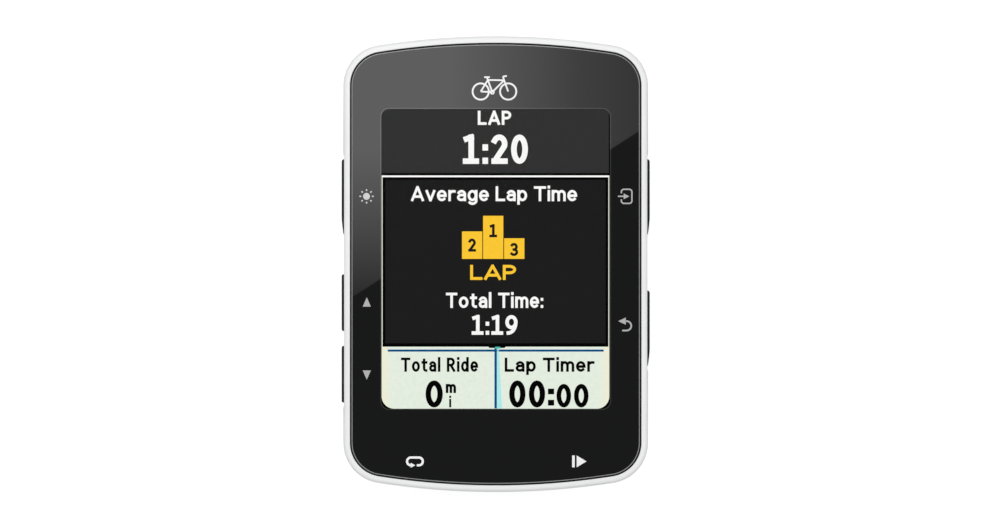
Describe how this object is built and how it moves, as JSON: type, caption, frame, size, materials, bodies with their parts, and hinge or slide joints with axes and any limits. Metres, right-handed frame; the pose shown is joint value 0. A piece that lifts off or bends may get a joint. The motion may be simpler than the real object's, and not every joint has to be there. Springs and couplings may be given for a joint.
{
  "type": "cycling computer",
  "caption": "Handheld-size cycling computer with a portrait display behind a glossy black lens, side and end push buttons, a covered socket and a quarter-turn mount on its back.",
  "frame": {"origin": "centre of the quarter-turn mount's flat outer face", "axes": "+Z out of the display, +Y to the top of the body, +X to the right seen from the display"},
  "size_m": [0.0494, 0.073, 0.021],
  "materials": {
    "white_housing": "satin moulded plastic",
    "black_housing": "fine textured moulded plastic",
    "lens": "glossy clear hard-coated lens",
    "lens_print": "opaque black ink",
    "adhesive": "double-sided tape",
    "blue_silicone": "silicone",
    "grey_silicone": "silicone",
    "black_rubber": "soft rubber",
    "button_plastic": "moulded plastic with a rubbery coat",
    "mount_plastic": "glass-filled nylon",
    "screw_steel": "stainless steel",
    "insert_brass": "knurled brass",
    "display_glass": "display cell with a polariser",
    "light_guide": "light guide and diffuser",
    "tray_metal": "pressed sheet",
    "flex_film": "polyimide film",
    "board": "green solder mask",
    "chip": "moulded chip package",
    "shield_metal": "pressed tin-plated steel",
    "connector": "connector nylon",
    "antenna_ceramic": "antenna ceramic",
    "switch_metal": "switch can",
    "plunger": "switch plunger",
    "membrane": "breathable membrane",
    "battery_pouch": "laminated foil pouch",
    "tape": "adhesive pad",
    "wire": "wire insulation"
  },
  "bodies": {
    "case": {"front_housing": "white_housing", "back_housing": "black_housing", "housing_gasket": "blue_silicone", "housing_screws": "screw_steel", "threaded_inserts": "insert_brass", "mount_insert": "mount_plastic", "mount_screws": "screw_steel", "mount_gasket": "blue_silicone", "front_lens": "lens", "lens_print": "lens_print", "lens_adhesive": "adhesive", "display_gasket": "adhesive", "display_panel": "display_glass", "display_backlight": "light_guide", "display_frame": "tray_metal", "display_flex": "flex_film", "button_switches": "switch_metal", "main_board": "board", "board_screws": "screw_steel", "processor_shield": "shield_metal", "radio_shield": "shield_metal", "board_chips": "chip", "flex_connector": "connector", "satellite_antenna": "antenna_ceramic", "radio_antenna": "antenna_ceramic", "buzzer": "chip", "pressure_sensor": "shield_metal", "vent_membrane": "membrane", "usb_socket": "shield_metal", "usb_tongue": "chip", "cover_anchor": "black_rubber", "battery": "battery_pouch", "battery_tape": "tape", "battery_plug": "connector", "battery_wires": "wire"},
    "usb_cover": {"usb_cover": "black_rubber"},
    "power_button": {"power_button": "button_plastic", "power_seal": "grey_silicone", "power_plunger": "plunger"},
    "up_button": {"up_button": "button_plastic", "up_seal": "grey_silicone", "up_plunger": "plunger"},
    "down_button": {"down_button": "button_plastic", "down_seal": "grey_silicone", "down_plunger": "plunger"},
    "enter_button": {"enter_button": "button_plastic", "enter_seal": "grey_silicone", "enter_plunger": "plunger"},
    "back_button": {"back_button": "button_plastic", "back_seal": "grey_silicone", "back_plunger": "plunger"},
    "lap_button": {"lap_button": "button_plastic", "lap_seal": "grey_silicone", "lap_plunger": "plunger"},
    "start_button": {"start_button": "button_plastic", "start_seal": "grey_silicone", "start_plunger": "plunger"}
  },
  "joints": [
    {"name": "power_press", "type": "slide", "parent": "case", "child": "power_button", "axis": [1, 0, 0], "range_m": [0, 0.0004], "stiffness_N_per_m": 4000},
    {"name": "up_press", "type": "slide", "parent": "case", "child": "up_button", "axis": [1, 0, 0], "range_m": [0, 0.0004], "stiffness_N_per_m": 4000},
    {"name": "down_press", "type": "slide", "parent": "case", "child": "down_button", "axis": [1, 0, 0], "range_m": [0, 0.0004], "stiffness_N_per_m": 4000},
    {"name": "enter_press", "type": "slide", "parent": "case", "child": "enter_button", "axis": [-1, 0, 0], "range_m": [0, 0.0004], "stiffness_N_per_m": 4000},
    {"name": "back_press", "type": "slide", "parent": "case", "child": "back_button", "axis": [-1, 0, 0], "range_m": [0, 0.0004], "stiffness_N_per_m": 4000},
    {"name": "lap_press", "type": "slide", "parent": "case", "child": "lap_button", "axis": [0, 1, 0], "range_m": [0, 0.0004], "stiffness_N_per_m": 4000},
    {"name": "start_press", "type": "slide", "parent": "case", "child": "start_button", "axis": [0, 1, 0], "range_m": [0, 0.0004], "stiffness_N_per_m": 4000},
    {"name": "usb_cover_flap", "type": "hinge", "parent": "case", "child": "usb_cover", "pos_m": [0, -0.03445, 0.0035], "axis": [1, 0, 0], "range_deg": [0, 80], "stiffness_Nm_per_rad": 0.002}
  ]
}
